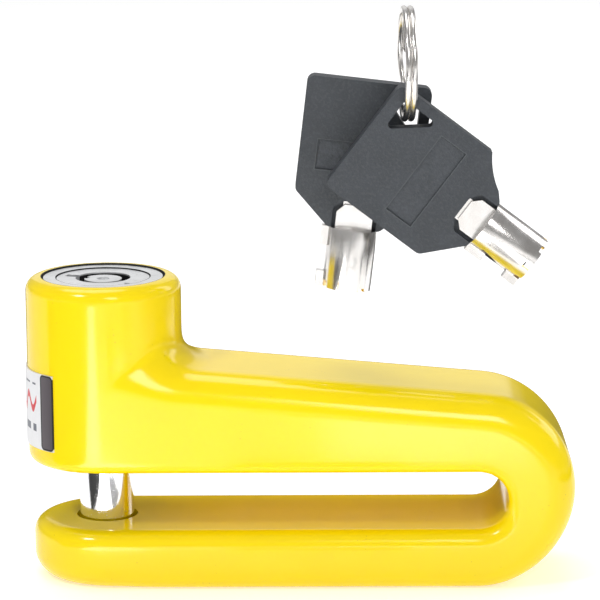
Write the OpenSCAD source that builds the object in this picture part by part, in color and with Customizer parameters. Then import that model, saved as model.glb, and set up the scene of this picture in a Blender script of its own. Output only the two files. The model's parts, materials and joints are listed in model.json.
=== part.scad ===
// Push-down disc lock for a motorcycle brake disc, with its two tubular keys.
// The origin is on the locking pin's axis, at the flat underside of the lower arm.
// +X runs along the arms to the closed bend, +Z up the barrel, -Y is the front.

/* [Lock body] */
// Diameter of the barrel, which is also the depth of both arms
barrel_d = 31.2; // [30.6:0.2:33]
// Height of the barrel's top above the rest face
body_h = 61.5; // [61.5:0.5:66]
// Distance from the pin's axis to the outside of the bend
reach = 94.5; // [88:0.5:110]
// Thickness of the lower arm
lower_arm_h = 12; // [11:0.5:13]
// Height of the slot that takes the brake disc
slot_h = 12; // [10:0.5:12]
// Radius of the outside of the bend
bend_r = 19.6; // [18.5:0.1:20]
// Wall between the slot's closed end and the outside of the bend
bend_wall = 13.5; // [12:0.5:15]
// Fall of the upper arm's top face towards the bend, in degrees
arm_fall = 5.1; // [5.1:0.1:5.2]
// Edge radius of the arms' outer edges
arm_edge_r = 6; // [4:0.5:7]

/* [Locking pin] */
// Diameter of the locking pin
pin_d = 11; // [10:0.5:11.5]
// Depth that the pin's tip enters the socket in the lower arm
pin_engage = 4; // [3.5:0.5:4.5]
// Diameter of the socket
socket_d = 12.4; // [12:0.1:13]

/* [Plunger] */
// Diameter of the plunger sleeve
sleeve_d = 24; // [23.6:0.1:24.2]
// Radial running clearance of the plunger and the locking pin
running_gap = 0.05; // [0.03:0.01:0.08]
// Distance that the latch bolt draws back when the key turns
latch_throw = 3; // [2.8:0.1:3]
// Angle that the key turns the core, in degrees
core_turn = 60; // [58:1:60]

/* [Tubular cylinder] */
// Diameter of the lock shell
shell_d = 18.9; // [18.6:0.1:19]
// Diameter of the centre post
post_d = 7.5; // [7.2:0.1:7.8]
// Outer diameter of the keyway
keyway_d = 11; // [10.8:0.1:11.2]
// Number of tumbler pins
tumblers = 7; // [5:1:8]

/* [Keys] */
// Width of a key's bow
bow_w = 25; // [24:0.5:26]
// Length of a key's bow
bow_l = 30; // [29:0.5:31]
// Thickness of a key's bow
bow_t = 4.6; // [4:0.2:4.8]
// Outer diameter of the tubular blade
blade_d = 9.9; // [9.6:0.1:10]
// Inner diameter of the tubular blade
blade_bore_d = 8.1; // [8:0.1:8.3]
// Length of the blade outside the bow
blade_l = 12.3; // [11:0.1:13]
// Outer diameter of the split ring
ring_d = 23; // [22.5:0.5:24]
// Diameter of the split ring's wire
ring_wire = 1.2; // [1:0.1:1.2]
// Distance between the two keys' middle planes
key_gap = 8.8; // [8.6:0.1:9.2]

/* [Hidden] */
$fn = 96;

barrel_r = barrel_d / 2;
slot_top = lower_arm_h + slot_h;
slot_mid = lower_arm_h + slot_h / 2;
bend_x = reach - bend_r;
slot_end_x = reach - bend_wall;
barrel_edge_r = 2.5;
label_t = 0.3;
label_half_turn = 53;
label_h = 15.5;
label_z = slot_top + 4;
touch = 0.02;

pin_r = pin_d / 2;
travel = slot_h + pin_engage;
pin_tip_z = lower_arm_h - pin_engage;
guide_h = 4.5;
bore_floor = slot_top + guide_h;
spring_h = 7.5;
sleeve_r = sleeve_d / 2;
sleeve_bottom = bore_floor + spring_h;
sleeve_floor_h = 3;
sleeve_top = body_h - 0.3;
bore_r = sleeve_r + running_gap;
spigot_r = 4;
cross_pin_r = 0.9;
cross_pin_z = sleeve_bottom + sleeve_floor_h / 2;

latch_h = 3.4;
latch_w = 6;
latch_z = sleeve_bottom + sleeve_floor_h + 0.2;
latch_tip = sleeve_r + 2.2;
latch_tail = -5;
latch_spring_y = 0.9;
latch_spring_z = latch_z + latch_h / 2;
latch_spring_r = 1.25;
crank_e = latch_throw;
crank_r = 0.8;
crank_play = 0.12;
crank_a = -90 + core_turn / 2;

shaft_end = latch_z + latch_h + 0.3;
clip_z = shaft_end + 0.3;
clip_h = 0.7;
cam_z = clip_z + clip_h + 0.1;
cam_h = 1.3;
cylinder_bottom = cam_z + cam_h + 0.3;
face_z = sleeve_top - 0.2;
collar_h = 4;
lug_room_h = 1.5;
disc_h = 3;
disc_top = face_z - collar_h - lug_room_h;
shear_z = disc_top - disc_h;
shell_r = shell_d / 2;
core_bore_r = 7.2;
tumbler_pitch_r = (post_d + keyway_d) / 4;
tumbler_r = 0.72;
driver_h = 2.6;
shaft_r = 2;
tail_r = 1.4;
post_r = post_d / 2;
lug_notch_a = 163;

screw_r = 2;
screw_tip_r = 1.5;
screw_z = sleeve_bottom + travel + 4.5;
groove_depth = 1.7;
wiper_z = body_h - 2.3;
wiper_h = 1.2;
wiper_wire_r = 0.5;
channel_top = latch_z + latch_h + travel + 0.3;

ring_wire_r = ring_wire / 2;
ring_r = ring_d / 2 - ring_wire_r;
ring_x = 61;
ring_z = 103.85;
hole_x = 5.2;
hole_y = 7.9;
hole_leg_x = 7.2;
hole_leg_y = 6.2;
hole_round = 0.8;
wire_rise = ring_r - sqrt(ring_r * ring_r - key_gap * key_gap / 4);
key_pivot = [ring_x, 0, ring_z - ring_r + wire_rise];
key_a_turn = -96.8;
key_b_turn = -37.2;
root_half_w = 6.2;
shoulder_x = 22.5;
bow_corner_r = 1.6;
window_depth = 5.5;
window_half_w = 4.5;
panel_x = 15.6;
panel_w = 6;
panel_l = 18;
panel_step = 0.4;
stem_x = 14;
stem_w = 5;
stem_t = 2;
shoulder_half_w = 3.7;
shoulder_slope = 1.5;
shoulder_t = 3.4;
shoulder_start = bow_l - window_depth + 0.8;
window_web_t = 1.8;
lug_rise = 1.4;
lug_w = 2.2;
root_lug_l = 4;
tip_lug_l = 3;

// A round wire wound into a helix along +Z, from z = 0 to z = length.
module coil(mean_r, wire_r, length, turns, steps, sides) {
    count = ceil(turns * steps);
    climb = length - 2 * wire_r;
    points = [
        for (i = [0:count], j = [0:sides - 1])
            let (a = 360 * turns * i / count, b = 360 * j / sides, r = mean_r + wire_r * cos(b))
                [r * cos(a), r * sin(a), wire_r + climb * i / count + wire_r * sin(b)]
    ];
    skin = [
        for (i = [0:count - 1], j = [0:sides - 1])
            let (k = (j + 1) % sides, low = i * sides, high = low + sides)
                each [[low + j, high + j, high + k], [low + j, high + k, low + k]]
    ];
    first = [for (j = [0:sides - 1]) j];
    last = [for (j = [sides - 1:-1:0]) count * sides + j];
    polyhedron(points = points, faces = concat(skin, [first, last]), convexity = 10);
}

// Cross-section of an arm: the half that faces outwards has rounded edges.
module arm_section(height, edge_r) {
    half = barrel_r - edge_r;
    translate([-barrel_r, 0]) square([barrel_d, height - edge_r]);
    translate([-half, 0]) square([2 * half, height]);
    for (side = [-1, 1]) translate([side * half, height - edge_r]) circle(r = edge_r);
}

module barrel() {
    rotate_extrude() {
        square([barrel_r - barrel_edge_r, body_h - slot_top + 0.001]);
        translate([0, barrel_edge_r])
            square([barrel_r, body_h - slot_top - 2 * barrel_edge_r]);
        for (z = [barrel_edge_r, body_h - slot_top - barrel_edge_r])
            translate([barrel_r - barrel_edge_r, z]) circle(r = barrel_edge_r);
    }
}

// The top face is the plane that touches the bend and falls away from the barrel.
module upper_arm() {
    extra_depth = 5;
    translate([bend_x, 0, bend_r]) rotate([0, arm_fall, 0])
        translate([-bend_x, 0, -extra_depth])
            rotate([90, 0, 90]) linear_extrude(height = bend_x)
                arm_section(bend_r + extra_depth, arm_edge_r);
}

module bend() {
    translate([bend_x, 0, bend_r]) rotate([90, 0, 0]) rotate_extrude()
        for (side = [0, 1]) mirror([0, side]) {
            square([bend_r, barrel_r - arm_edge_r]);
            square([bend_r - arm_edge_r, barrel_r]);
            translate([bend_r - arm_edge_r, barrel_r - arm_edge_r]) circle(r = arm_edge_r);
        }
}

module lower_arm() {
    nose_x = 0.8;
    nose_edge_r = 5;
    translate([nose_x, 0, 0]) rotate_extrude() {
        square([barrel_r - nose_edge_r, lower_arm_h]);
        translate([0, nose_edge_r]) square([barrel_r, lower_arm_h - nose_edge_r]);
        translate([barrel_r - nose_edge_r, nose_edge_r]) circle(r = nose_edge_r);
    }
    translate([bend_x, 0, lower_arm_h]) rotate([0, -90, 0]) rotate([0, 0, -90])
        linear_extrude(height = bend_x - nose_x) rotate(180) arm_section(lower_arm_h, nose_edge_r);
}

module disc_slot() {
    low_x = -2 * barrel_r;
    translate([low_x, -barrel_r - 1, lower_arm_h])
        cube([slot_end_x - slot_h / 2 - low_x, barrel_d + 2, slot_h]);
    translate([slot_end_x - slot_h / 2, barrel_r + 1, slot_mid]) rotate([90, 0, 0])
        cylinder(r = slot_h / 2, h = barrel_d + 2);
}

module lock_body() {
    color("gold")
    difference() {
        union() {
            translate([0, 0, slot_top]) barrel();
            difference() {
                union() {
                    upper_arm();
                    bend();
                    lower_arm();
                }
                disc_slot();
            }
        }
        translate([0, 0, bore_floor]) cylinder(r = bore_r, h = body_h);
        translate([0, 0, slot_top - 1]) cylinder(r = pin_r + running_gap, h = guide_h + 2);
        translate([0, 0, pin_tip_z - 1.5]) cylinder(r = socket_d / 2, h = pin_engage + 2);
        translate([0, -latch_w / 2 - 0.25, latch_z - 0.3])
            cube([latch_tip + 0.25, latch_w + 0.5, channel_top - latch_z + 0.3]);
        translate([0, barrel_r + 1, screw_z]) rotate([90, 0, 0])
            cylinder(r = screw_r, h = barrel_r + 1 - sleeve_r + 1);
        translate([0, 0, wiper_z]) cylinder(r = sleeve_r + 2 * wiper_wire_r + 0.1, h = wiper_h);
    }
}

module label_plate() {
    color("silver") translate([0, 0, label_z]) rotate(180 - label_half_turn)
        rotate_extrude(angle = 2 * label_half_turn)
            translate([barrel_r + touch, 0]) square([label_t, label_h]);
}

module travel_screw() {
    color("dimgray") translate([0, 0, screw_z]) rotate([-90, 0, 0]) difference() {
        union() {
            translate([0, 0, bore_r + 0.4]) cylinder(r = screw_r, h = barrel_r - bore_r - 0.8);
            translate([0, 0, sleeve_r - groove_depth + 0.3]) cylinder(r = screw_tip_r, h = groove_depth + 1);
        }
        translate([0, 0, barrel_r - 2]) cylinder(r = 1, h = 3, $fn = 6);
    }
}

module wiper_ring() {
    color("black") translate([0, 0, wiper_z + wiper_h / 2]) rotate_extrude()
        translate([sleeve_r + 0.08 + wiper_wire_r, 0]) circle(r = wiper_wire_r);
}

module return_spring() {
    color("lightsteelblue") translate([0, 0, bore_floor])
        coil(mean_r = 8.6, wire_r = 0.7, length = spring_h, turns = 4.5, steps = 18, sides = 8);
}

module plunger_sleeve() {
    color("silver") difference() {
        translate([0, 0, sleeve_bottom]) cylinder(r = sleeve_r, h = sleeve_top - sleeve_bottom);
        translate([0, 0, sleeve_bottom + sleeve_floor_h]) cylinder(r = shell_r + touch, h = body_h);
        translate([0, 0, sleeve_bottom - 1]) cylinder(r = spigot_r, h = sleeve_floor_h + 2);
        translate([0, sleeve_r, cross_pin_z]) rotate([90, 0, 0]) cylinder(r = cross_pin_r, h = sleeve_d);
        translate([0, -latch_w / 2 - 0.15, latch_z - 0.2])
            cube([sleeve_d, latch_w + 0.3, latch_h + 0.35]);
        translate([-screw_tip_r - 0.15, sleeve_r - groove_depth, screw_z - travel - screw_tip_r - 0.15])
            cube([2 * screw_tip_r + 0.3, sleeve_r, travel + 2 * screw_tip_r + 0.3]);
        translate([0, -shell_r, shear_z - 4]) rotate([90, 0, 0]) cylinder(r = 1, h = sleeve_r);
    }
}

module locking_pin() {
    tip_round = 1.2;
    color("whitesmoke") difference() {
        union() {
            translate([0, 0, pin_tip_z]) rotate_extrude() {
                square([pin_r - tip_round, sleeve_bottom - pin_tip_z]);
                translate([0, tip_round]) square([pin_r, sleeve_bottom - pin_tip_z - tip_round]);
                translate([pin_r - tip_round, tip_round]) circle(r = tip_round);
            }
            translate([0, 0, sleeve_bottom - 1]) cylinder(r = spigot_r, h = sleeve_floor_h + 0.9);
        }
        translate([0, pin_r, cross_pin_z]) rotate([90, 0, 0]) cylinder(r = cross_pin_r, h = pin_d);
    }
}

module pin_cross_pin() {
    color("gray") translate([0, sleeve_r - 0.6, cross_pin_z]) rotate([90, 0, 0])
        cylinder(r = cross_pin_r, h = sleeve_d - 1.2);
}

module lock_shell() {
    notch_w = 2;
    notch_r = 7.9;
    color("gainsboro") difference() {
        translate([0, 0, cylinder_bottom]) cylinder(r = shell_r, h = face_z - cylinder_bottom);
        translate([0, 0, cylinder_bottom - 1]) cylinder(r = core_bore_r, h = face_z - collar_h - cylinder_bottom + 1);
        translate([0, 0, face_z - collar_h - 1]) cylinder(d = keyway_d, h = collar_h + 2);
        rotate(lug_notch_a) translate([keyway_d / 2 - 1, -notch_w / 2, face_z - collar_h - 1])
            cube([notch_r - keyway_d / 2 + 1, notch_w, collar_h + 2]);
        rotate(-50) translate([8, 0, face_z - 0.5]) cylinder(r = 0.6, h = 1);
        translate([0, -core_bore_r + 1, shear_z - 4]) rotate([90, 0, 0]) cylinder(r = 1, h = 4);
    }
}

module shell_retaining_pin() {
    color("gray") translate([0, -6, shear_z - 4]) rotate([90, 0, 0])
        cylinder(r = 1, h = sleeve_r - 0.4 - 6);
}

// One copy of the child at every tumbler's place.
module at_tumblers() {
    for (i = [0:tumblers - 1])
        rotate(360 * i / tumblers) translate([tumbler_pitch_r, 0, 0]) children();
}

module pin_sleeve() {
    pocket_floor = cylinder_bottom + 1.5;
    color("darkgoldenrod") difference() {
        translate([0, 0, cylinder_bottom])
            cylinder(r = core_bore_r - touch, h = shear_z - 0.05 - cylinder_bottom);
        translate([0, 0, cylinder_bottom - 1]) cylinder(r = shaft_r + 0.05, h = shear_z);
        at_tumblers() translate([0, 0, pocket_floor]) cylinder(r = tumbler_r + 0.06, h = shear_z);
        translate([0, -6 + touch, shear_z - 4]) rotate([90, 0, 0]) cylinder(r = 1, h = 4);
    }
}

module driver_pins() {
    color("goldenrod") at_tumblers() translate([0, 0, shear_z - 0.1 - driver_h])
        cylinder(r = tumbler_r, h = driver_h);
}

module tumbler_springs() {
    pocket_floor = cylinder_bottom + 1.5;
    color("lightsteelblue") at_tumblers() translate([0, 0, pocket_floor])
        coil(mean_r = 0.5, wire_r = 0.14, length = shear_z - 0.12 - driver_h - pocket_floor,
            turns = 4, steps = 8, sides = 4);
}

module spindle() {
    color("whitesmoke") difference() {
        union() {
            translate([0, 0, shear_z]) cylinder(r = core_bore_r - 0.08, h = disc_h);
            translate([0, 0, shear_z]) cylinder(r = post_r, h = face_z - 0.2 - shear_z);
            translate([0, 0, cam_z + cam_h]) cylinder(r = shaft_r, h = shear_z + 1 - cam_z - cam_h);
            translate([0, 0, shaft_end]) cylinder(r = tail_r, h = shear_z - shaft_end);
        }
        at_tumblers() translate([0, 0, shear_z - 1]) cylinder(r = tumbler_r + 0.03, h = disc_h + 2);
        translate([0, 0, face_z - 1]) cylinder(r = 1.3, h = 2);
        rotate(lug_notch_a) translate([post_r - 0.8, -0.8, disc_top + 1]) cube([2, 1.6, face_z]);
    }
}

module key_pins() {
    color("goldenrod") at_tumblers() translate([0, 0, shear_z])
        cylinder(r = tumbler_r, h = disc_h + 3);
}

module tail_cam() {
    color("silver") difference() {
        union() {
            translate([0, 0, cam_z]) cylinder(r = 5, h = cam_h);
            rotate(crank_a) translate([crank_e, 0, latch_z + 0.6])
                cylinder(r = crank_r, h = cam_z - latch_z);
        }
        translate([0, 0, cam_z - 1]) cylinder(r = tail_r + touch, h = cam_h + 2);
    }
}

module cam_clip() {
    color("dimgray") translate([0, 0, clip_z]) difference() {
        cylinder(r = tail_r + 0.65, h = clip_h);
        translate([0, 0, -1]) cylinder(r = tail_r + touch, h = clip_h + 2);
        translate([-4, -0.5, -1]) cube([4, 1, clip_h + 2]);
    }
}

module latch_bolt() {
    bevel = 1.4;
    notch_half = crank_r + crank_play;
    color("silver") difference() {
        translate([0, latch_w / 2, latch_z]) rotate([90, 0, 0]) linear_extrude(height = latch_w)
            polygon([
                [latch_tail, 0], [latch_tip - bevel, 0], [latch_tip, bevel],
                [latch_tip, latch_h], [latch_tail, latch_h]
            ]);
        translate([crank_e * cos(crank_a) - notch_half, -latch_w, latch_z - 1])
            cube([2 * notch_half, latch_w - 1.4, latch_h + 2]);
        translate([latch_tail - 1, latch_spring_y, latch_spring_z]) rotate([0, 90, 0])
            cylinder(r = latch_spring_r, h = 5.4);
    }
}

module latch_spring() {
    seat_x = -9.3;
    color("lightsteelblue") translate([seat_x, latch_spring_y, latch_spring_z]) rotate([0, 90, 0])
        coil(mean_r = 0.8, wire_r = 0.2, length = 5.4, turns = 5.5, steps = 10, sides = 5);
}

// Two turns of wire lying side by side; the ring stands in the plane across the keys.
module split_ring() {
    color("silver") translate([ring_x, 0, ring_z]) rotate([0, 90, 0]) rotate_extrude()
        for (side = [-1, 1])
            translate([ring_r, side * (ring_wire_r - 0.05)]) circle(r = ring_wire_r);
}

// Places a key that is drawn flat, blade along +X, so that its hole hangs on the ring.
module key_place(turn, depth) {
    translate([key_pivot[0], depth, key_pivot[2]]) rotate([0, -turn, 0]) rotate([90, 0, 0])
        translate([-hole_x, -hole_y, 0]) children();
}

// The head is a plain block with one straight and one hollow shoulder.
module bow_outline() {
    half_w = bow_w / 2 - bow_corner_r;
    hollow_r = 17;
    hollow_depth = 0.7;
    slope = [bow_l - shoulder_x, root_half_w - bow_w / 2];
    middle = [(bow_l + shoulder_x) / 2, (bow_w / 2 + root_half_w) / 2];
    outward = [-slope[1], slope[0]] / norm(slope);
    corners = [
        [bow_corner_r, half_w], [bow_corner_r, -half_w],
        [shoulder_x, half_w], [shoulder_x, -half_w],
        [bow_l - bow_corner_r, root_half_w - bow_corner_r],
        [bow_l - bow_corner_r, bow_corner_r - root_half_w]
    ];
    difference() {
        hull() for (p = corners) translate(p) circle(r = bow_corner_r, $fn = 32);
        translate(middle + (hollow_r - hollow_depth) * outward) circle(r = hollow_r);
    }
}

module ring_hole() {
    corner = [hole_x - 1.8, hole_y + 1.7];
    places = [corner, corner + [hole_leg_x - 2 * hole_round, 0], corner - [0, hole_leg_y - 2 * hole_round]];
    hull() for (p = places) translate(p) circle(r = hole_round, $fn = 32);
}

module root_window() {
    places = [[bow_l + 2, window_half_w - 1], [bow_l - window_depth + 2, window_half_w - 1],
        [bow_l - window_depth + 1, window_half_w - 2.4]];
    hull() for (p = places, side = [-1, 1]) translate([p[0], side * p[1]]) circle(r = 1, $fn = 32);
}

// The block at the blade's root, drawn smaller all round by the gap.
module shoulder(gap) {
    half_w = shoulder_half_w - gap;
    start = shoulder_start + gap;
    translate([0, 0, gap - shoulder_t / 2]) linear_extrude(height = shoulder_t - 2 * gap) polygon([
        [start, shoulder_slope - half_w], [start + shoulder_slope, -half_w],
        [bow_l + 1, -half_w], [bow_l + 1, half_w],
        [start + shoulder_slope, half_w], [start, half_w - shoulder_slope]
    ]);
}

module key_bow() {
    color("#33373c") difference() {
        translate([0, 0, -bow_t / 2]) linear_extrude(height = bow_t) bow_outline();
        translate([0, 0, -bow_t]) linear_extrude(height = 2 * bow_t) ring_hole();
        for (side = [0, 1]) mirror([0, 0, side])
            translate([0, 0, window_web_t / 2]) linear_extrude(height = bow_t) root_window();
        shoulder(0);
        for (side = [0, 1]) mirror([0, 0, side])
            translate([panel_x - panel_w / 2, -panel_l / 2, bow_t / 2 - panel_step])
                cube([panel_w, panel_l, 1]);
        translate([stem_x, -stem_w / 2, -stem_t / 2]) cube([bow_l, stem_w, stem_t]);
    }
}

// The blade starts 0.05 mm outside the bow; its stem is moulded into the bow.
module key_blade() {
    blade_x = bow_l + 0.05;
    tip_x = blade_x + blade_l;
    blade_r = blade_d / 2;
    cut_r = 0.85;
    color("silver") difference() {
        union() {
            translate([blade_x, 0, 0]) rotate([0, 90, 0]) cylinder(r = blade_r, h = blade_l);
            translate([stem_x + 0.05, touch - stem_w / 2, touch - stem_t / 2])
                cube([bow_l - stem_x, stem_w - 2 * touch, stem_t - 2 * touch]);
            shoulder(touch);
            translate([blade_x, -blade_r - lug_rise, -lug_w / 2]) cube([root_lug_l, lug_rise + 1, lug_w]);
            translate([tip_x - tip_lug_l, -blade_r - lug_rise, -lug_w / 2])
                cube([tip_lug_l, lug_rise + 1, lug_w]);
        }
        translate([blade_x + 1.5, 0, 0]) rotate([0, 90, 0]) cylinder(d = blade_bore_d, h = blade_l);
        for (i = [0:tumblers - 1]) rotate([360 * (i + 0.5) / tumblers, 0, 0])
            translate([tip_x - 0.7 - 0.35 * (i * 3 % 4), -(blade_r + blade_bore_d / 2) / 2, 0])
                rotate([0, 90, 0]) cylinder(r = cut_r, h = 4);
    }
}

module key_a_bow() { key_place(key_a_turn, key_gap / 2) key_bow(); }
module key_a_blade() { key_place(key_a_turn, key_gap / 2) key_blade(); }
module key_b_bow() { key_place(key_b_turn, -key_gap / 2) key_bow(); }
module key_b_blade() { key_place(key_b_turn, -key_gap / 2) key_blade(); }

lock_body();
label_plate();
travel_screw();
wiper_ring();
return_spring();
plunger_sleeve();
locking_pin();
pin_cross_pin();
lock_shell();
shell_retaining_pin();
pin_sleeve();
driver_pins();
tumbler_springs();
spindle();
key_pins();
tail_cam();
cam_clip();
latch_bolt();
latch_spring();
split_ring();
key_a_bow();
key_a_blade();
key_b_bow();
key_b_blade();
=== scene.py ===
import json
import math
import bpy
import numpy as np
from mathutils import Matrix, Vector

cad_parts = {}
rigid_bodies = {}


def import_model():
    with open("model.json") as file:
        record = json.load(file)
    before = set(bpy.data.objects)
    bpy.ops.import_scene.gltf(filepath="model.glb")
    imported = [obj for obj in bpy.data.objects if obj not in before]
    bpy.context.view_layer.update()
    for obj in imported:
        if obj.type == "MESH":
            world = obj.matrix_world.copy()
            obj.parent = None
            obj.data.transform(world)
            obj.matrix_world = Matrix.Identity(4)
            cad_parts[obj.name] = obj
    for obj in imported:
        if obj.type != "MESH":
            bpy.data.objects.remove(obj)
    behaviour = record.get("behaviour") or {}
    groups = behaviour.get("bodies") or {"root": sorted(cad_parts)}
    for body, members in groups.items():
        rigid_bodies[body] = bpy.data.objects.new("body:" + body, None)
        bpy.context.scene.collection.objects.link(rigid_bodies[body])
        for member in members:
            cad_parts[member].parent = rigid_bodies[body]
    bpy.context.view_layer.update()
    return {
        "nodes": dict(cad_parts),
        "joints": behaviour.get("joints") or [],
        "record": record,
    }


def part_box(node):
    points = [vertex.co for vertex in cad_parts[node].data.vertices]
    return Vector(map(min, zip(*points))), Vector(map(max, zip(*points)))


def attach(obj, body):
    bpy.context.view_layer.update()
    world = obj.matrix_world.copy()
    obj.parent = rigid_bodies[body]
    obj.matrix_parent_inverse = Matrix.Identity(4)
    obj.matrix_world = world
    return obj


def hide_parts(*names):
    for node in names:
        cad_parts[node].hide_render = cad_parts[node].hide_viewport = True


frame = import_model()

mm = 0.001
nodes = frame["nodes"]
joints = {joint["name"]: joint for joint in frame["joints"]}


class Wire:
    # an output socket that can stand in a sum
    def __init__(self, finish, socket):
        self.finish = finish
        self.socket = socket

    def maths(self, operation, *values):
        return self.finish.node("ShaderNodeMath", {"operation": operation}, dict(enumerate(values)))

    def __add__(self, other):
        return self.maths("ADD", self, other)

    def __radd__(self, other):
        return self.maths("ADD", other, self)

    def __sub__(self, other):
        return self.maths("SUBTRACT", self, other)

    def __rsub__(self, other):
        return self.maths("SUBTRACT", other, self)

    def __mul__(self, other):
        return self.maths("MULTIPLY", self, other)

    def __rmul__(self, other):
        return self.maths("MULTIPLY", other, self)

    def __truediv__(self, other):
        return self.maths("DIVIDE", self, other)

    def __pow__(self, other):
        return self.maths("POWER", self, other)

    def __abs__(self):
        return self.maths("ABSOLUTE", self)

    def sine(self):
        return self.maths("SINE", self)

    def larger(self, other):
        return self.maths("MAXIMUM", self, other)

    def smaller(self, other):
        return self.maths("MINIMUM", self, other)

    def above(self, limit, soft):
        # 0 below the limit and 1 above it, with a soft step between
        values = {"Value": self, "From Min": limit - soft, "From Max": limit + soft}
        return self.finish.node("ShaderNodeMapRange", {"interpolation_type": "SMOOTHSTEP"}, values)

    def below(self, limit, soft):
        return 1 - self.above(limit, soft)


class Finish:
    # one material: a Principled shader and the nodes that feed it
    def __init__(self, name):
        self.material = bpy.data.materials.new(name)
        self.material.use_nodes = True
        self.tree = self.material.node_tree
        self.shader = self.tree.nodes["Principled BSDF"]
        self.place = self.node("ShaderNodeTexCoord", output="Object")

    def connect(self, socket, value):
        if isinstance(value, Wire):
            self.tree.links.new(value.socket, socket)
        elif socket.type == "RGBA" and len(value) == 3:
            socket.default_value = (*value, 1)
        else:
            socket.default_value = value

    def node(self, kind, settings=None, values=None, output=0):
        node = self.tree.nodes.new(kind)
        for name, value in (settings or {}).items():
            setattr(node, name, value)
        for name, value in (values or {}).items():
            self.connect(node.inputs[name], value)
        return Wire(self, node.outputs[output])

    def set(self, **values):
        for name, value in values.items():
            self.connect(self.shader.inputs[socketNames[name]], value)
        return self

    def vector(self, operation, *values, output=0):
        return self.node("ShaderNodeVectorMath", {"operation": operation}, dict(enumerate(values)), output)

    def axes(self):
        return [self.node("ShaderNodeSeparateXYZ", values={0: self.place}, output=i) for i in range(3)]

    def noise(self, scale, detail=3.0, rough=0.55, place=None):
        values = {"Vector": place or self.place, "Scale": scale, "Detail": detail, "Roughness": rough}
        return self.node("ShaderNodeTexNoise", values=values)

    def cells(self, scale):
        return self.node("ShaderNodeTexVoronoi", values={"Vector": self.place, "Scale": scale})

    def stretched(self, x, y, z):
        return self.node("ShaderNodeMapping", values={"Vector": self.place, "Scale": (x, y, z)})

    def mix(self, factor, first, second):
        return self.node("ShaderNodeMix", {"data_type": "RGBA"}, {0: factor, 6: first, 7: second}, output=2)

    def bump(self, height, distance, strength=1.0, under=None):
        values = {"Height": height, "Distance": distance, "Strength": strength}
        if under:
            values["Normal"] = under
        return self.node("ShaderNodeBump", values=values)


socketNames = {
    "colour": "Base Color", "rough": "Roughness", "metal": "Metallic", "normal": "Normal",
    "ior": "IOR", "glow": "Emission Color", "glowStrength": "Emission Strength",
}


def paint(thing, finish):
    thing.data.materials.clear()
    thing.data.materials.append(finish.material)


def thickYellowCoat():
    look = {"yellow": (0.94, 0.715, 0.002), "deep": (0.92, 0.67, 0.001), "dirt": (0.50, 0.32, 0.02),
            "bare": (0.020, 0.019, 0.018), "bareRim": 0.52 * mm, "bareAbove": 22 * mm, "gloss": 0.11,
            "ior": 1.46}
    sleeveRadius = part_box("plunger_sleeve")[1][0]
    finish = Finish("thick_yellow_coat")
    # the bore was masked off when the body was coated: its near-black colour is partly the bare casting and
    # partly painted shade down inside the bore
    x, y, z = finish.axes()
    bare = ((x * x + y * y) ** 0.5).below(sleeveRadius + look["bareRim"], 0.03 * mm)
    bare = bare * z.above(look["bareAbove"], mm)
    clouds = finish.noise(60, 4)
    specks = finish.cells(900).below(0.1, 0.04) * finish.noise(130, 2).above(0.6, 0.06)
    hairline = finish.noise(90, 5, place=finish.stretched(1, 6, 14)).above(0.66, 0.03)
    colour = finish.mix(clouds.above(0.5, 0.3) * 0.5, look["yellow"], look["deep"])
    colour = finish.mix(specks * 0.5, colour, look["dirt"])
    # painted shade: the bore is mixed to near-black, deeper than bare casting would be
    colour = finish.mix(bare, colour, look["bare"])
    ripple = finish.noise(75, 2, 0.4)
    peel = finish.noise(420, 2, 0.5)
    flow = finish.bump(ripple, 0.12 * mm, 0.35)
    skin = finish.bump(peel - hairline * 0.15 - specks * 0.4, 0.02 * mm, 0.5, flow)
    finish.set(colour=colour, rough=look["gloss"] + clouds * 0.08 + hairline * 0.05 + bare * 0.5, normal=skin,
               ior=look["ior"])
    return finish


def polishedChrome():
    finish = Finish("polished_chrome")
    grind = finish.noise(900, 4, 0.7, finish.stretched(1, 1, 0.02))
    pits = finish.noise(2600, 2).above(0.68, 0.04)
    haze = finish.noise(150, 4)
    tone = finish.mix(haze, (0.80, 0.80, 0.83), (0.93, 0.93, 0.94))
    finish.set(colour=tone, metal=1.0, rough=0.05 + haze * 0.08 + pits * 0.2,
               normal=finish.bump(grind * 0.6 - pits, 0.006 * mm, 0.5))
    return finish


def satinNickel():
    # faces turned on a lathe: fine rings about the barrel's axis, painted shade down in the keyway and grime
    # in the joint
    look = {"dull": (0.80, 0.81, 0.82), "bright": (0.91, 0.92, 0.93), "mark": (0.40, 0.39, 0.38),
            "grimeAndShade": (0.025, 0.025, 0.028), "keywayInner": 3.75 * mm, "keywayOuter": 5.55 * mm,
            "jointHalf": 0.13 * mm, "soft": 0.03 * mm}
    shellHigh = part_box("lock_shell")[1]
    shellRadius, top = shellHigh[0], shellHigh[2]
    finish = Finish("satin_nickel")
    x, y, z = finish.axes()
    radius = (x * x + y * y) ** 0.5
    wobble = finish.noise(300, 3)
    rings = (radius * 16000 + wobble * 5).sine()
    haze = finish.noise(220, 5)
    marks = finish.noise(700, 5, 0.7).above(0.6, 0.05)
    tone = finish.mix(haze.above(0.5, 0.2), look["dull"], look["bright"])
    tone = finish.mix(marks * 0.25, tone, look["mark"])
    soft = look["soft"]
    # painted shade: the keyway is darkened below the face, the joint line round the shell is a real dark
    # joint
    inKeyway = radius.above(look["keywayInner"], soft) * radius.below(look["keywayOuter"], soft)
    grimeAndShade = inKeyway * z.below(top - 0.25 * mm, 0.1 * mm)
    joint = abs(radius - shellRadius).below(look["jointHalf"], soft) * z.above(top - 2 * mm, mm)
    grimeAndShade = grimeAndShade.larger(joint)
    tone = finish.mix(grimeAndShade, tone, look["grimeAndShade"])
    finish.set(colour=tone, metal=1.0, rough=0.26 + haze * 0.16 + marks * 0.14 + grimeAndShade * 0.3,
               normal=finish.bump(rings * 0.4 + wobble, 0.012 * mm, 0.6))
    return finish


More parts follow.
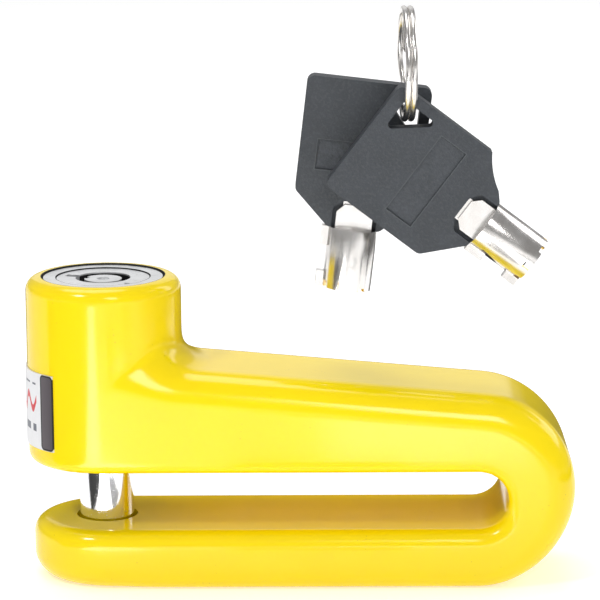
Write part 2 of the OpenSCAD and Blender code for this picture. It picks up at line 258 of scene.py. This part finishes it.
def brightNickel(name="bright_nickel", key=None):
    # a blade is plated, and its end and the tip cuts show the brass underneath
    look = {"bright": (0.88, 0.86, 0.84), "dull": (0.72, 0.69, 0.66), "brass": (0.72, 0.50, 0.20),
            "bareLength": 3.2 * mm, "skin": 0.06 * mm, "soft": 0.02 * mm}
    finish = Finish(name)
    haze = finish.noise(260, 4)
    scuff = finish.noise(1500, 5, 0.75)
    lines = finish.noise(800, 3, 0.6, finish.stretched(0.25, 1, 1)).above(0.6, 0.06)
    tone = finish.mix(haze.above(0.5, 0.25), look["dull"], look["bright"])
    rough = 0.12 + haze * 0.12 + scuff * 0.07
    if key:
        fromTip = finish.vector("SUBTRACT", finish.place, tuple(key["tip"]))
        back = finish.vector("DOT_PRODUCT", fromTip, tuple(key["blade"]), output=1)
        sideways = finish.vector("CROSS_PRODUCT", fromTip, tuple(key["blade"]))
        radius = finish.vector("LENGTH", sideways, output=1)
        skin, soft = look["skin"], look["soft"]
        wall = radius.below(keyShape["bladeRadius"] - skin, soft)
        wall = wall * radius.above(keyShape["bladeBore"] + skin, soft)
        bare = wall * back.above(-look["bareLength"], 0.05 * mm)
        tone = finish.mix(bare * (0.6 + haze * 0.5).smaller(1), tone, look["brass"])
    finish.set(colour=tone, metal=1.0, rough=rough,
               normal=finish.bump(scuff + lines * 0.4, 0.01 * mm, 0.45))
    return finish


def printedLabel():
    # plain print: a dark end strip with a black outline, a red stroke and two grey bars
    look = {"foil": (0.72, 0.72, 0.74), "bright": (0.86, 0.86, 0.87), "outline": (0.015, 0.015, 0.017),
            "strip": (0.10, 0.085, 0.095), "red": (0.60, 0.02, 0.03), "bars": (0.12, 0.13, 0.16)}
    # lengths in millimetres, along the label from its middle and up from its middle
    plan = {"stripAt": 12.95, "stripHalf": 0.9, "stripHeight": 6.75, "outline": 0.95, "inside": 0.6,
            "strokeEnd": 9.6, "strokeHalf": 0.75, "strokeHeight": 1.5, "dashEnd": 9.4, "edge": 0.05}
    low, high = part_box("label_plate")
    finish = Finish("printed_label")
    x, y, z = finish.axes()
    around = finish.node("ShaderNodeMath", {"operation": "ARCTAN2"}, {0: 0 - y, 1: 0 - x})
    along = around * (-low[0] / mm)
    up = (z - (low[2] + high[2]) / 2) / mm
    haze = finish.noise(420, 4)
    tone = finish.mix(haze * 0.5, look["foil"], look["bright"])
    edge = plan["edge"]
    fromStrip = (abs(along - plan["stripAt"]) - plan["stripHalf"]).larger(0)
    overStrip = (abs(up) - plan["stripHeight"]).larger(0)
    reach = (fromStrip * fromStrip + overStrip * overStrip) ** 0.5
    tone = finish.mix(reach.below(plan["outline"], edge), tone, look["outline"])
    tone = finish.mix(reach.below(plan["inside"], edge), tone, look["strip"])
    wave = (along * 1.3 + 0.5).sine() * plan["strokeHeight"] + along * 0.1 + 0.9
    stroke = abs(up - wave).below(plan["strokeHalf"], edge)
    stroke = stroke * along.below(plan["strokeEnd"], edge) * along.above(-plan["strokeEnd"], edge)
    tone = finish.mix(stroke, tone, look["red"])
    # a row of thick dashes below the stroke and a row of thin ones above it
    rule = (abs(up + 3.6).below(0.75, edge) + abs(up - 5.4).below(0.2, edge)).smaller(1)
    dashes = (along * 1.5).sine().above(-0.55, 0.15)
    rule = rule * dashes * along.below(plan["dashEnd"], edge) * along.above(-plan["dashEnd"], edge)
    tone = finish.mix(rule, tone, look["bars"])
    finish.set(colour=tone, metal=0.35, rough=0.3 + haze * 0.12, normal=finish.bump(haze, 0.01 * mm, 0.4))
    return finish


def turnedBrass():
    finish = Finish("turned_brass")
    haze = finish.noise(500, 4)
    tone = finish.mix(haze, (0.55, 0.36, 0.11), (0.80, 0.60, 0.26))
    finish.set(colour=tone, metal=1.0, rough=0.25 + haze * 0.2,
               normal=finish.bump(finish.noise(2500, 3), 0.008 * mm, 0.5))
    return finish


def darkSteel():
    finish = Finish("blackened_steel")
    haze = finish.noise(600, 4)
    tone = finish.mix(haze, (0.10, 0.10, 0.11), (0.26, 0.26, 0.27))
    finish.set(colour=tone, metal=1.0, rough=0.3 + haze * 0.25,
               normal=finish.bump(finish.noise(2200, 3), 0.01 * mm, 0.5))
    return finish


def springWire():
    finish = Finish("drawn_spring_wire")
    haze = finish.noise(700, 4)
    tone = finish.mix(haze, (0.42, 0.43, 0.46), (0.72, 0.73, 0.75))
    finish.set(colour=tone, metal=1.0, rough=0.2 + haze * 0.2,
               normal=finish.bump(finish.noise(3000, 3), 0.006 * mm, 0.5))
    return finish


def sealRubber():
    finish = Finish("seal_rubber")
    haze = finish.noise(900, 4)
    tone = finish.mix(haze, (0.012, 0.012, 0.012), (0.035, 0.035, 0.035))
    finish.set(colour=tone, rough=0.5 + haze * 0.3,
               normal=finish.bump(finish.noise(4000, 3), 0.01 * mm, 0.6))
    return finish


def mouldedPlastic(name="moulded_plastic", key=None):
    look = {"dark": (0.032, 0.037, 0.044), "worn": (0.041, 0.047, 0.056), "panel": (0.062, 0.069, 0.081),
            "rubAndHighlight": (0.085, 0.094, 0.10), "ior": 1.47, "panelHalfWidth": 2.95, "panelHalfLength": 8.95,
            "rim": 0.25}
    finish = Finish(name)
    grain = finish.cells(2000)
    fine = finish.noise(5200, 3, 0.6)
    haze = finish.noise(190, 4)
    scratch = finish.noise(260, 5, 0.7, finish.stretched(1, 1, 5)).above(0.7, 0.03)
    tone = finish.mix(haze.above(0.5, 0.3), look["dark"], look["worn"])
    speckle = finish.noise(1500, 2).above(0.56, 0.06)
    tone = finish.mix(scratch * 0.2 + speckle * 0.18, tone, look["rubAndHighlight"])
    height = grain * 0.8 + fine
    if key:
        # in millimetres, from the middle of the sunk panel
        fromHole = finish.vector("SUBTRACT", finish.place, tuple(key["pivot"]))
        along = finish.vector("DOT_PRODUCT", fromHole, tuple(key["blade"]), output=1) / mm
        along = abs(along + (keyShape["holeAlong"] - keyShape["panelAlong"]) / mm)
        across = finish.vector("DOT_PRODUCT", fromHole, tuple(key["side"]), output=1) / mm
        across = abs(across + keyShape["holeAcross"] / mm)
        halfWidth, halfLength, rim = look["panelHalfWidth"], look["panelHalfLength"], look["rim"]
        panel = along.below(halfWidth, 0.03) * across.below(halfLength, 0.03)
        rim = along.below(halfWidth + rim, 0.05) * across.below(halfLength + rim, 0.05) - panel
        weave = finish.noise(700, 4, 0.7)
        # painted highlight: a light line along the sunk panel's rim, on top of the real scuffs and speckle
        # that share this colour
        tone = finish.mix(rim * 0.5, tone, look["rubAndHighlight"])
        # the sunk panel's weave is lighter, and the stronger lightening on one key than the other is painted
        # sheen
        tone = finish.mix(panel * weave.above(0.5, 0.2) * key["panelWeaveAndSheen"], tone, look["panel"])
        height = height + panel * weave * 2.5
    finish.set(colour=tone, rough=0.46 + haze * 0.12 + fine * 0.1, ior=look["ior"],
               normal=finish.bump(height, 0.05 * mm, 0.8))
    return finish


keyShape = {
    "holeAlong": 5.2 * mm,       # the ring's hole, from the bow's outer end
    "holeAcross": 7.9 * mm,      # and from the key's middle line
    "panelAlong": 15.6 * mm,
    "length": 42.35 * mm,
    "bladeRadius": 4.95 * mm,
    "bladeBore": 4.04 * mm,
}


def hungKey(name, turn, panelWeaveAndSheen):
    # the key's own directions: along its blade, and across towards the hollow shoulder
    a = math.radians(turn)
    blade = Vector((math.cos(a), 0, -math.sin(a)))
    side = Vector((math.sin(a), 0, math.cos(a)))
    pivot = Vector(joints[name + "_swing"]["pos_m"])
    tip = pivot + blade * (keyShape["length"] - keyShape["holeAlong"]) - side * keyShape["holeAcross"]
    return {"blade": blade, "side": side, "pivot": pivot, "tip": tip, "panelWeaveAndSheen": panelWeaveAndSheen}


# the last number sets how light each key's sunk panel is: partly its weave, partly painted sheen that makes
# key A's panel lighter than key B's
keys = {
    "key_a": hungKey("key_a", 96.8, 0.9),
    "key_b": hungKey("key_b", 37.2, 0.35),
}
finishes = {
    "yellow_coating": thickYellowCoat(),
    "pin_chrome": polishedChrome(),
    "satin_nickel": satinNickel(),
    "blade_nickel": brightNickel(),
    "label_foil": printedLabel(),
    "tumbler_brass": turnedBrass(),
    "screw_steel": darkSteel(),
    "spring_steel": springWire(),
    "seal_rubber": sealRubber(),
    "bow_plastic": mouldedPlastic(),
}
for part in frame["record"]["subparts"]:
    paint(nodes[part["node"]], finishes[part["material_slot"]])
for name, key in keys.items():
    paint(nodes[name + "_bow"], mouldedPlastic(name + "_bow_plastic", key))
    paint(nodes[name + "_blade"], brightNickel(name + "_blade_nickel", key))
print("finishes on", len(nodes), "nodes")


def span(node):
    low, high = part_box(node)
    return np.array(low), np.array(high)


bodyLow, bodyHigh = span("lock_body")
pinLow, pinHigh = span("locking_pin")
sleeveHigh = span("plunger_sleeve")[1]
boltLow, boltHigh = span("latch_bolt")
screwLow, screwHigh = span("travel_screw")
springLow = span("return_spring")[0]
wiperLow, wiperHigh = span("wiper_ring")
plungerTravel = joints["plunger_travel"]["range_m"][1]

coatedBody = {
    "barrelRadius": bodyHigh[1],
    "barrelRim": 2.6 * mm,       # rounding of the barrel's top and bottom edges
    "lowerArm": 12 * mm,
    "slotTop": 24 * mm,
    "slotEnd": bodyHigh[0] - 13.5 * mm,
    "bendRadius": 19.6 * mm,
    "fall": math.radians(5),     # slope of the upper arm's top
    "noseX": 0.8 * mm,
    "topEdge": 6.2 * mm,         # rounding of the upper arm's outer edges
    "soleEdge": 3.6 * mm,        # the same round the lower arm
    "noseEdge": 5.2 * mm,        # and round its free end
    "slotEdge": 2.0 * mm,        # edges where the slot meets the sides
    "fillet": 7.0 * mm,          # hollow where the barrel meets the arm
    "play": 0.05 * mm,           # round the plunger, the pin and the wiper ring
    "lip": 0.35 * mm,            # the bore's mouth is this much wider
    "socket": 6.2 * mm,          # radius of the pin's socket in the lower arm
    "socketRoom": 1.5 * mm,      # below the pin's tip
    "channelRoom": 0.28 * mm,    # round the latch bolt
    "screwHole": 2 * mm,
    "screwDepth": 6 * mm,
    "screwStart": 11.5 * mm,
    "grid": 0.8 * mm,
}


def roundUnion(a, b, radius):
    u = np.maximum(radius - a, 0)
    v = np.maximum(radius - b, 0)
    return np.maximum(radius, np.minimum(a, b)) - np.hypot(u, v)


def roundCommon(a, b, radius):
    u = np.maximum(radius + a, 0)
    v = np.maximum(radius + b, 0)
    return np.minimum(-radius, np.maximum(a, b)) + np.hypot(u, v)


def softUnion(a, b, reach):
    near = np.maximum(reach - np.abs(a - b), 0) / reach
    return np.minimum(a, b) - near * near * reach / 4


def ease(value, start, end):
    t = np.clip((value - start) / (end - start), 0, 1)
    return t * t * (3 - 2 * t)


def bodyDistance(points):
    b = coatedBody
    x, y, z = points[..., 0], points[..., 1], points[..., 2]
    radius = b["barrelRadius"]
    top = bodyHigh[2]
    bendX, bendZ = bodyHigh[0] - b["bendRadius"], b["bendRadius"]
    lean = (math.sin(b["fall"]), math.cos(b["fall"]))
    fromAxis = np.hypot(x, y)
    # side view of the arms: top face, sole and bend
    alongX, alongZ = x - bendX, z - bendZ
    topFace = alongX * lean[0] + alongZ * lean[1] - bendZ
    sole = -z
    bendFace = np.hypot(alongX, alongZ) - b["bendRadius"]
    beyondTop = alongX * lean[1] - alongZ * lean[0] > 0
    inWedge = (alongX > 0) & ((alongZ <= 0) | beyondTop)
    outline = np.where(inWedge, bendFace, np.maximum(topFace, sole))
    # barrel root blended into the arm's top
    root = np.maximum(fromAxis - radius + 0.7 * mm, np.maximum(z - top + 6 * mm, 18 * mm - z))
    outline = roundUnion(root, outline, b["fillet"])
    # plan view: straight sides and a round free end
    plan = np.where(x < b["noseX"], np.hypot(x - b["noseX"], y) - radius, np.abs(y) - radius)
    low = 1 - ease(z, 8 * mm, 26 * mm)
    atNose = 1 - ease(x, -6 * mm, 14 * mm)
    edge = b["topEdge"] + low * (b["soleEdge"] - b["topEdge"])
    edge = edge + low * atNose * (b["noseEdge"] - b["soleEdge"])
    edge = edge + ease(x, bendX, bodyHigh[0]) * low * (b["topEdge"] - b["soleEdge"])
    arms = roundCommon(outline, plan, edge)
    height = np.maximum(z - top, b["slotTop"] - z - 4 * mm)
    barrel = roundCommon(fromAxis - radius, height, b["barrelRim"])
    blend = 0.02 * mm + 0.9 * mm * ease(radius - np.abs(y), 0, 3 * mm)
    whole = softUnion(arms, barrel, blend)
    middle = (b["lowerArm"] + b["slotTop"]) / 2
    half = (b["slotTop"] - b["lowerArm"]) / 2
    slotX = b["slotEnd"] - half
    slot = np.where(x < slotX, np.abs(z - middle), np.hypot(x - slotX, z - middle)) - half
    slotEdge = b["slotEdge"] + ease(middle - z, -1 * mm, 5 * mm) * 1.0 * mm
    return roundCommon(whole, -slot, slotEdge)


def surfaceNet(distance, low, high, step):
    # one vertex in each grid cell that the surface crosses, one quad across each crossed edge
    counts = np.ceil((high - low) / step).astype(int) + 5
    start = low - 2 * step
    axes = [start[i] + step * np.arange(counts[i]) for i in range(3)]
    field = distance(np.stack(np.meshgrid(*axes, indexing="ij"), -1))
    cells = tuple(c - 1 for c in counts)
    total = np.zeros((*cells, 3))
    hits = np.zeros(cells)
    crossings = []
    for axis in range(3):
        near = np.moveaxis(field, axis, 0)[:-1]
        far = np.moveaxis(field, axis, 0)[1:]
        crossed = (near < 0) != (far < 0)
        place = np.argwhere(crossed)
        share = near[crossed] / (near[crossed] - far[crossed])
        spot = place.astype(float)
        spot[:, 0] += share
        order = [axis] + [i for i in range(3) if i != axis]
        corner = np.empty_like(place)
        point = np.empty_like(spot)
        for column, real in enumerate(order):
            corner[:, real] = place[:, column]
            point[:, real] = spot[:, column]
        side = [i for i in range(3) if i != axis]
        for du in (0, 1):
            for dv in (0, 1):
                cell = corner.copy()
                cell[:, side[0]] -= du
                cell[:, side[1]] -= dv
                np.add.at(total, tuple(cell.T), point)
                np.add.at(hits, tuple(cell.T), 1)
        crossings.append((axis, side, corner, near[crossed] < 0))
    used = hits > 0
    index = np.full(cells, -1)
    index[used] = np.arange(used.sum())
    points = start + total[used] / hits[used][:, None] * step
    faces = []
    for axis, side, corner, fromInside in crossings:
        ring = []
        for du, dv in ((0, 0), (1, 0), (1, 1), (0, 1)):
            cell = corner.copy()
            cell[:, side[0]] -= du
            cell[:, side[1]] -= dv
            ring.append(index[tuple(cell.T)])
        quads = np.stack(ring, 1)
        turned = fromInside if axis != 1 else ~fromInside
        quads[turned] = quads[turned][:, ::-1]
        faces.append(quads)
    return points, np.concatenate(faces)


def slopeOf(distance, points, step=0.02 * mm):
    slope = np.empty_like(points)
    for i in range(3):
        shift = np.zeros(3)
        shift[i] = step
        slope[:, i] = (distance(points + shift) - distance(points - shift)) / (2 * step)
    return slope


def settle(distance, points, faces, rounds):
    # evens the mesh out along the surface, then draws each point back onto it
    edges = np.concatenate([faces[:, [0, 1]], faces[:, [1, 2]], faces[:, [2, 3]], faces[:, [3, 0]]])
    for _ in range(rounds):
        total = np.zeros_like(points)
        hits = np.zeros(len(points))
        for a, b in ((0, 1), (1, 0)):
            np.add.at(total, edges[:, a], points[edges[:, b]])
            np.add.at(hits, edges[:, a], 1)
        points = points * 0.4 + total / hits[:, None] * 0.6
        for _ in range(2):
            slope = slopeOf(distance, points)
            length = np.maximum((slope * slope).sum(1), 0.05)
            points = points - slope * (distance(points) / length)[:, None]
    return points


def meshObject(name, points, faces):
    mesh = bpy.data.meshes.new(name)
    mesh.from_pydata([tuple(p) for p in points], [], [tuple(int(i) for i in f) for f in faces])
    mesh.validate()
    thing = bpy.data.objects.new(name, mesh)
    bpy.context.scene.collection.objects.link(thing)
    return thing


def smoothShade(thing):
    thing.data.polygons.foreach_set("use_smooth", [True] * len(thing.data.polygons))
    thing.data.set_sharp_from_angle(angle=math.radians(35))


def tubeFaces(rings, sides):
    # quads between rings of points that follow each other, and a face over each end
    faces = []
    for ring in range(rings - 1):
        low, high = ring * sides, (ring + 1) * sides
        for i in range(sides):
            j = (i + 1) % sides
            faces.append((low + i, low + j, high + j, high + i))
    faces.append(tuple(reversed(range(sides))))
    faces.append(tuple((rings - 1) * sides + i for i in range(sides)))
    return faces


def lathe(name, outline, sides=128):
    # outline runs from (0, z) at the bottom to (0, z) at the top
    points = []
    inner = outline[1:-1]
    for r, z in inner:
        for i in range(sides):
            a = 2 * math.pi * i / sides
            points.append((r * math.cos(a), r * math.sin(a), z))
    return meshObject(name, points, tubeFaces(len(inner), sides))


def plainRound(name, radius, low, high, sides):
    return lathe(name, [(0, low), (radius, low), (radius, high), (0, high)], sides)


def block(name, low, high):
    points = [(x, y, z) for x in (low[0], high[0]) for y in (low[1], high[1]) for z in (low[2], high[2])]
    faces = [(0, 1, 3, 2), (4, 6, 7, 5), (0, 4, 5, 1), (2, 3, 7, 6), (0, 2, 6, 4), (1, 5, 7, 3)]
    return meshObject(name, points, faces)


def cutAway(thing, cutters):
    for cutter in cutters:
        cut = thing.modifiers.new(cutter.name, "BOOLEAN")
        cut.operation = "DIFFERENCE"
        cut.solver = "EXACT"
        cut.object = cutter
    graph = bpy.context.evaluated_depsgraph_get()
    done = bpy.data.meshes.new_from_object(thing.evaluated_get(graph))
    thing.modifiers.clear()
    thing.data = done
    for cutter in cutters:
        bpy.data.objects.remove(cutter)


def makeCoatedBody():
    # the casting, then its bore, the pin's socket, the latch's channel and the travel screw's hole
    b = coatedBody
    points, faces = surfaceNet(bodyDistance, bodyLow, bodyHigh, b["grid"])
    points = settle(bodyDistance, points, faces, 4)
    thing = meshObject("coated_body", points, faces)
    play = b["play"]
    bore = sleeveHigh[0] + play
    floor = springLow[2]
    guide = pinHigh[0] + play
    groove = wiperHigh[0] + play
    over = bodyHigh[2] + 4 * mm
    under = b["slotTop"] - mm
    mouth = bore + b["lip"]
    grooveLow, grooveHigh = wiperLow[2] - play, wiperHigh[2] + play
    outline = [(0, under), (guide, under), (guide, floor), (bore, floor), (bore, grooveLow),
               (groove, grooveLow), (groove, grooveHigh), (mouth, grooveHigh), (mouth, over), (0, over)]
    socket = plainRound("socket", b["socket"], pinLow[2] - b["socketRoom"], b["lowerArm"] + mm, 128)
    room = b["channelRoom"]
    channel = block("channel", (0, boltLow[1] - room, boltLow[2] - room),
                    (boltHigh[0] + room, boltHigh[1] + room, boltHigh[2] + plungerTravel + room))
    screwHole = plainRound("screw_hole", b["screwHole"], 0, b["screwDepth"], 48)
    screwZ = (screwLow[2] + screwHigh[2]) / 2
    screwHole.data.transform(Matrix.Rotation(math.radians(-90), 4, "X"))
    screwHole.data.transform(Matrix.Translation((0, b["screwStart"], screwZ)))
    cutAway(thing, [lathe("plunger_bore", outline), socket, channel, screwHole])
    smoothShade(thing)
    paint(thing, finishes["yellow_coating"])
    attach(thing, "lock")
    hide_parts("lock_body")
    return thing


body = makeCoatedBody()
print("coated body:", len(body.data.polygons), "faces")


def makeSplitRing():
    # one wire wound nearly twice, whose turns cross over near the free ends
    ring = {"wire": 0.6 * mm, "yaw": 3.0, "steps": 200, "sides": 14, "start": 30, "end": 690, "cross": 60,
            "crossAt": 115, "endTaper": 0.55, "spread": 1.02}
    low, high = span("split_ring")
    centre = Vector((low + high) / 2)
    wire = ring["wire"]
    mean = (high[2] - low[2]) / 2 - wire
    points = []
    turnZ = Matrix.Rotation(math.radians(ring["yaw"]), 3, "Z")
    for i in range(ring["steps"] + 1):
        angle = ring["start"] + (ring["end"] - ring["start"]) * i / ring["steps"]
        layer = ease(angle, 360 - ring["cross"] / 2, 360 + ring["cross"] / 2) * 2 - 1
        a = math.radians(angle + ring["crossAt"])
        out = Vector((0, math.sin(a), math.cos(a)))
        taper = ring["endTaper"] if i in (0, ring["steps"]) else 1
        for j in range(ring["sides"]):
            b = 2 * math.pi * j / ring["sides"]
            local = out * (mean + taper * wire * math.cos(b))
            local.x = layer * wire * ring["spread"] + taper * wire * math.sin(b)
            points.append(turnZ @ local + centre)
    thing = meshObject("wound_split_ring", points, tubeFaces(ring["steps"] + 1, ring["sides"]))
    smoothShade(thing)
    paint(thing, finishes["blade_nickel"])
    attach(thing, "ring")
    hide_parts("split_ring")


makeSplitRing()
print("split ring wound")


# turned and moulded pieces keep their shape and get eased edges
easedEdges = {
    "plunger_sleeve": 0.25 * mm, "lock_shell": 0.2 * mm, "spindle": 0.2 * mm, "locking_pin": 0.15 * mm,
    "key_a_bow": 0.35 * mm, "key_b_bow": 0.35 * mm, "key_a_blade": 0.15 * mm, "key_b_blade": 0.15 * mm,
    "latch_bolt": 0.2 * mm, "tail_cam": 0.15 * mm, "travel_screw": 0.2 * mm,
}
for name, width in easedEdges.items():
    thing = nodes[name]
    join = thing.modifiers.new("join", "WELD")
    join.merge_threshold = 0.002 * mm
    eased = thing.modifiers.new("eased edges", "BEVEL")
    eased.width = width
    eased.segments = 3
    eased.limit_method = "ANGLE"
    eased.angle_limit = math.radians(40)
    eased.harden_normals = False
print("eased edges on", len(easedEdges), "nodes")


def showOnlyTo(thing, ray):
    for other in ("camera", "diffuse", "glossy", "transmission", "volume_scatter", "shadow"):
        setattr(thing, "visible_" + other, other == ray)


def studio():
    light = {"floor": (0.80, 0.80, 0.80), "floorClouds": (0.84, 0.84, 0.84), "glow": 0.4, "sky": 0.31,
             "overhead": 1.2, "pool": 60, "wall": 0.93, "wallAway": 5}
    white = (1, 1, 1)
    bpy.ops.mesh.primitive_plane_add(size=12, location=(0, 0, 0))
    floor = bpy.context.object
    floor.name = "studio_floor"
    finish = Finish("pale_floor")
    tone = finish.mix(finish.noise(40, 3), light["floor"], light["floorClouds"])
    finish.set(colour=tone, rough=0.6, glow=white, glowStrength=light["glow"])
    paint(floor, finish)
    # a pale wall far off on all sides, which only the camera sees
    wall = plainRound("pale_wall", light["wallAway"], -0.5, light["wallAway"], 96)
    paper = Finish("pale_paper")
    paper.set(colour=paper.mix(paper.noise(3), (0.02, 0.02, 0.02), (0.03, 0.03, 0.03)), rough=0.9,
              glow=white, glowStrength=light["wall"])
    paint(wall, paper)
    showOnlyTo(wall, "camera")
    # cards that show only in gloss, painted dark reflections and painted highlights so that the metal and the
    # coat have contrast:
    # corners, grey, how much each shines, and its turn about the barrel's axis
    cards = {
        "left_card": ((-0.60, -0.70, 0.0004), (-0.042, -0.022, 0.0006), 0.02, 0, 0),
        "front_card": ((0.030, -0.265, 0.0004), (0.20, -0.195, 0.0006), 0.02, 0, 0),
        "right_card": ((0.24, -0.18, 0.0004), (0.80, 0.30, 0.0006), 0.02, 0, 0),
        "pin_card": ((0.024, -0.115, 0.0004), (0.062, -0.045, 0.0006), 0.22, 0, 0),
        "back_card": ((-0.06, 0.10, 0.001), (0.13, 0.101, 0.046), 0.04, 0, 0),
        "key_card": ((0.074, -0.006, 0.0648), (0.13, 0.016, 0.065), 0.06, 0, 0),
        "stripe_card": ((-0.020, -0.34, 0.0008), (0.020, -0.045, 0.001), 0.8, 6, -14),
        "band_card": ((0.045, -0.185, 0.0008), (0.095, -0.115, 0.001), 0.8, 3.5, 0),
    }
    for name, (low, high, grey, shine, turn) in cards.items():
        card = block(name, low, high)
        card.data.transform(Matrix.Rotation(math.radians(turn), 4, "Z"))
        paintedReflection = Finish(name + "_painted_reflection")
        paintedReflection.set(colour=paintedReflection.mix(paintedReflection.noise(20), [grey * 0.8] * 3, [grey * 1.2] * 3), rough=0.9,
                  glow=white, glowStrength=shine)
        paint(card, paintedReflection)
        showOnlyTo(card, "glossy")
    world = bpy.data.worlds.new("studio")
    bpy.context.scene.world = world
    world.use_nodes = True
    sky = world.node_tree.nodes["Background"]
    sky.inputs["Color"].default_value = (*white, 1)
    sky.inputs["Strength"].default_value = light["sky"]
    lamps = {
        "key_softbox": ((-0.45, -0.50, 0.80), (0.03, 0, 0.03), 0.18, 2.9),
        "front_softbox": ((0.25, -0.85, 0.55), (0.04, 0, 0.03), 0.28, 1.9),
        "right_softbox": ((0.70, 0.30, 0.45), (0.04, 0, 0.04), 0.5, 2.0),
        "back_softbox": ((0, 0.90, 0.42), (0.03, 0, 0.05), 0.6, 0.6),
    }
    for name, (place, aim, size, watts) in lamps.items():
        lamp = bpy.data.lights.new(name, "AREA")
        lamp.shape = "SQUARE"
        lamp.size = size
        lamp.energy = watts
        aimLamp(name, lamp, place, aim)
    pool = bpy.data.lights.new("floor_pool", "SPOT")
    pool.energy = light["pool"]
    pool.spot_size = math.radians(10)
    pool.spot_blend = 0.4
    pool.shadow_soft_size = 0.02
    aimLamp("floor_pool", pool, (0.03, -0.16, 1.2), (0.03, -0.14, 0))
    overhead = bpy.data.lights.new("overhead_light", "SUN")
    overhead.energy = light["overhead"]
    overhead.angle = math.radians(40)
    aimLamp("overhead_light", overhead, (-0.15, 0.25, 1), (0, 0, 0))
    bpy.context.scene.view_settings.view_transform = "Standard"


def aimLamp(name, lamp, place, aim):
    holder = bpy.data.objects.new(name, lamp)
    bpy.context.scene.collection.objects.link(holder)
    holder.location = place
    holder.visible_camera = False
    holder.rotation_euler = (Vector(aim) - Vector(place)).to_track_quat("-Z", "Y").to_euler()


def camera():
    # the point it looks at, the distance to it, and how far it looks down
    shot = {"centre": (39.52 * mm, 0, 56.18 * mm), "distance": 0.603, "pitch": 11.84, "yaw": -0.41,
            "roll": -0.33, "field": 11.42}
    lens = bpy.data.cameras.new("camera")
    lens.sensor_width = 36
    lens.angle = math.radians(shot["field"])
    lens.clip_start = 0.01
    holder = bpy.data.objects.new("camera", lens)
    bpy.context.scene.collection.objects.link(holder)
    turn = Matrix.Rotation(math.radians(-shot["yaw"]), 4, "Z") @ Matrix.Rotation(
        math.radians(90 - shot["pitch"]), 4, "X") @ Matrix.Rotation(math.radians(shot["roll"]), 4, "Z")
    away = turn @ Vector((0, 0, shot["distance"]))
    holder.matrix_world = Matrix.Translation(Vector(shot["centre"]) + away) @ turn
    bpy.context.scene.camera = holder


studio()
camera()
print("studio ready")
